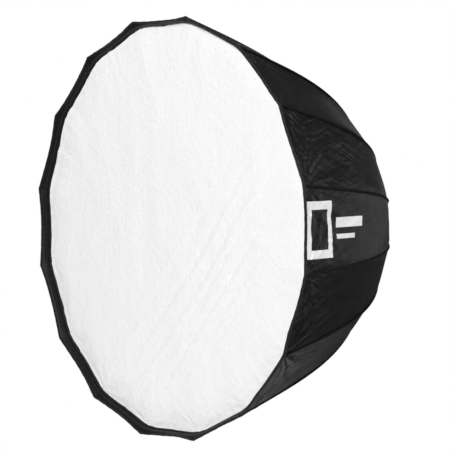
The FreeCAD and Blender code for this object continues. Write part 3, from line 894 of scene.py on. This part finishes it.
def dress_hard_parts():
    finishes = {
        "bayonet_insert": hard("insert_nickel", (0.60, 0.60, 0.61), 0.28, 1.0, depth=0.00008, turned=True),
        "rod_ring": hard("ring_anodised", (0.016, 0.016, 0.017), 0.42, 0.4, 1400, 0.00008, wear=0.5),
        "rear_cover": hard("cover_plastic", (0.014, 0.014, 0.015), 0.55, 0.0, 1100, 0.00025),
        "rib": hard("rib_coating", (0.013, 0.013, 0.014), 0.38, 0.0, 1300, 0.0001, wear=0.35),
        "spring": hard("spring_bright", (0.55, 0.55, 0.56), 0.25, 1.0, 2200, 0.00005),
        "screw": hard("screw_oxide", (0.02, 0.02, 0.021), 0.36, 0.8, 2000, 0.00006, wear=0.6),
        "washer": hard("washer_nylon_natural", (0.70, 0.70, 0.66), 0.5, 0.0, 1500, 0.00006),
        "knob": hard("knob_rubberised", (0.012, 0.012, 0.012), 0.68, 0.0, 700, 0.0003),
    }
    chosen = {
        "bayonet_insert": "bayonet_insert", "retaining_ring": "bayonet_insert", "retaining_screws": "screw",
        "rod_ring": "rod_ring", "front_plate": "rod_ring", "front_plate_screws": "screw",
        "rear_cover": "rear_cover", "rear_cover_screws": "screw", "hinge_pins": "spring",
        "detent_springs": "spring", "glide_washers": "washer", "lock_knob": "knob", "lock_stud": "spring",
    }
    chosen.update({"rib_%02d" % (i + 1): "rib" for i in range(RIBS)})
    for node, finish in chosen.items():
        obj = frame["nodes"][node]
        for place in obj.material_slots:
            place.material = finishes[finish]


def build():
    lining = silver_lining()
    plain = nylon("black_nylon_cloth", 0.6)
    own = {0: nylon("black_nylon_crumpled", 1.5), 15: nylon("black_nylon_printed", 1.0, mark=True)}
    for number in range(RIBS):
        build_gore(number, own.get(number, plain), lining)
    # Partly painted shade: the seam tape is black cloth like the panels, made a little darker to stand for the
    # shadow the panels cast into the seam.
    seam_tape = tape("seam_tape", 0.003, stitch_rows=(-0.0037, 0.0037), thread=0.012, gloss=0.12)
    for number in range(RIBS):
        build_seam(number, seam_tape)
    edge_tape = tape("edge_tape", 0.005, stitch_rows=(0.0015,))
    build_binding(edge_tape)
    build_lip(satin())
    build_hem(tape("hem_tape", 0.010))
    white = diffusion_cloth()
    build_outer_diffuser(white)
    build_inner_diffuser(white)
    elastic = tape("elastic_webbing", 0.016, 1300)
    build_tabs(elastic)
    build_collar(elastic)
    dress_hard_parts()


# ---------------------------------------------------------------- camera, light and floor


def build_camera():
    """Long lens, from the right of the open front, level with the canopy's middle."""
    turn, rise, roll, distance = math.radians(49.34), math.radians(1.525), math.radians(-1.016), 7.4471
    back = Vector((math.sin(turn) * math.cos(rise), -math.cos(turn) * math.cos(rise), math.sin(rise)))
    right = (-back).cross(Vector((0, 0, 1))).normalized()
    up = right.cross(-back)
    camera_right = math.cos(roll) * right + math.sin(roll) * up
    camera_up = -math.sin(roll) * right + math.cos(roll) * up
    place = back * distance + camera_right * 0.2211 + camera_up * 0.0131 + Vector((0, FRONT_Y, 0))
    data = bpy.data.cameras.new("camera")
    data.sensor_width = 36
    data.lens = 169.23
    data.clip_end = 60
    camera = bpy.data.objects.new("camera", data)
    axes = Matrix((camera_right, camera_up, back)).transposed().to_4x4()
    camera.matrix_world = Matrix.Translation(place) @ axes
    bpy.context.scene.collection.objects.link(camera)
    bpy.context.scene.camera = camera


def area_light(name, place, target, size, power):
    data = bpy.data.lights.new(name, "AREA")
    data.shape = "DISK"
    data.size = size
    data.energy = power
    light = bpy.data.objects.new(name, data)
    light.location = place
    light.visible_camera = False
    light.rotation_euler = (Vector(target) - Vector(place)).to_track_quat("-Z", "Y").to_euler()
    bpy.context.scene.collection.objects.link(light)


def build_room():
    world = bpy.data.worlds.new("studio")
    bpy.context.scene.world = world
    world.use_nodes = True
    t = Tree(world.node_tree)
    lit = world.node_tree.nodes["Background"]
    lit.inputs["Color"].default_value = (1, 1, 1, 1)
    lit.inputs["Strength"].default_value = 0.062
    seen = t.node("ShaderNodeBackground")
    seen.inputs["Color"].default_value = (1, 1, 1, 1)
    choose = t.node("ShaderNodeMixShader")
    t.feed(choose.inputs[0], t.node("ShaderNodeLightPath").outputs["Is Camera Ray"])
    t.feed(choose.inputs[1], lit.outputs[0])
    t.feed(choose.inputs[2], seen.outputs[0])
    t.feed(world.node_tree.nodes["World Output"].inputs["Surface"], choose.outputs[0])

    area_light("key", (2.9, -8.9, 3.4), (0, -0.85, 0), 4.6, 940)
    area_light("side", (6.0, 1.0, 1.6), (0.5, -0.4, 0), 2.4, 245)
    area_light("far_side", (-6.0, 1.0, 1.6), (-0.5, -0.4, 0), 2.4, 150)
    area_light("glint", (2.4, 3.4, 6.4), (0.5, -0.6, 0.2), 1.1, 105)
    area_light("backdrop", (-4.4, 4.2, 0.6), (0, -0.4, 0), 3.6, 11)
    area_light("rear", (0.3, 5.2, 0.1), (0.3, -0.4, 0), 2.4, 10)

    rings, columns = 6, 96
    vertices, faces = [(0.0, -0.4, FLOOR_Z)], []
    for i in range(1, rings + 1):
        reach = FLOOR_RADIUS * i / rings
        for j in range(columns):
            a = 2 * math.pi * j / columns
            vertices.append((reach * math.cos(a), -0.4 + reach * math.sin(a), FLOOR_Z))
    faces.extend((0, 1 + j, 1 + (j + 1) % columns) for j in range(columns))
    for i in range(rings - 1):
        for j in range(columns):
            a, b = 1 + i * columns + j, 1 + i * columns + (j + 1) % columns
            faces.append((a, a + columns, b + columns, b))
    material, t, shader = new_material("pale_floor")
    shader.inputs["Roughness"].default_value = 0.9
    t.feed(shader.inputs["Base Color"], mixed(t, texture_noise(t, object_space(t), 3.0), grey(0.80), grey(0.83)))
    make_object("floor", vertices, faces, material)

    scene = bpy.context.scene
    scene.view_settings.view_transform = "Standard"
    scene.view_settings.look = "None"


build_camera()
build_room()
build()
bpy.context.view_layer.update()
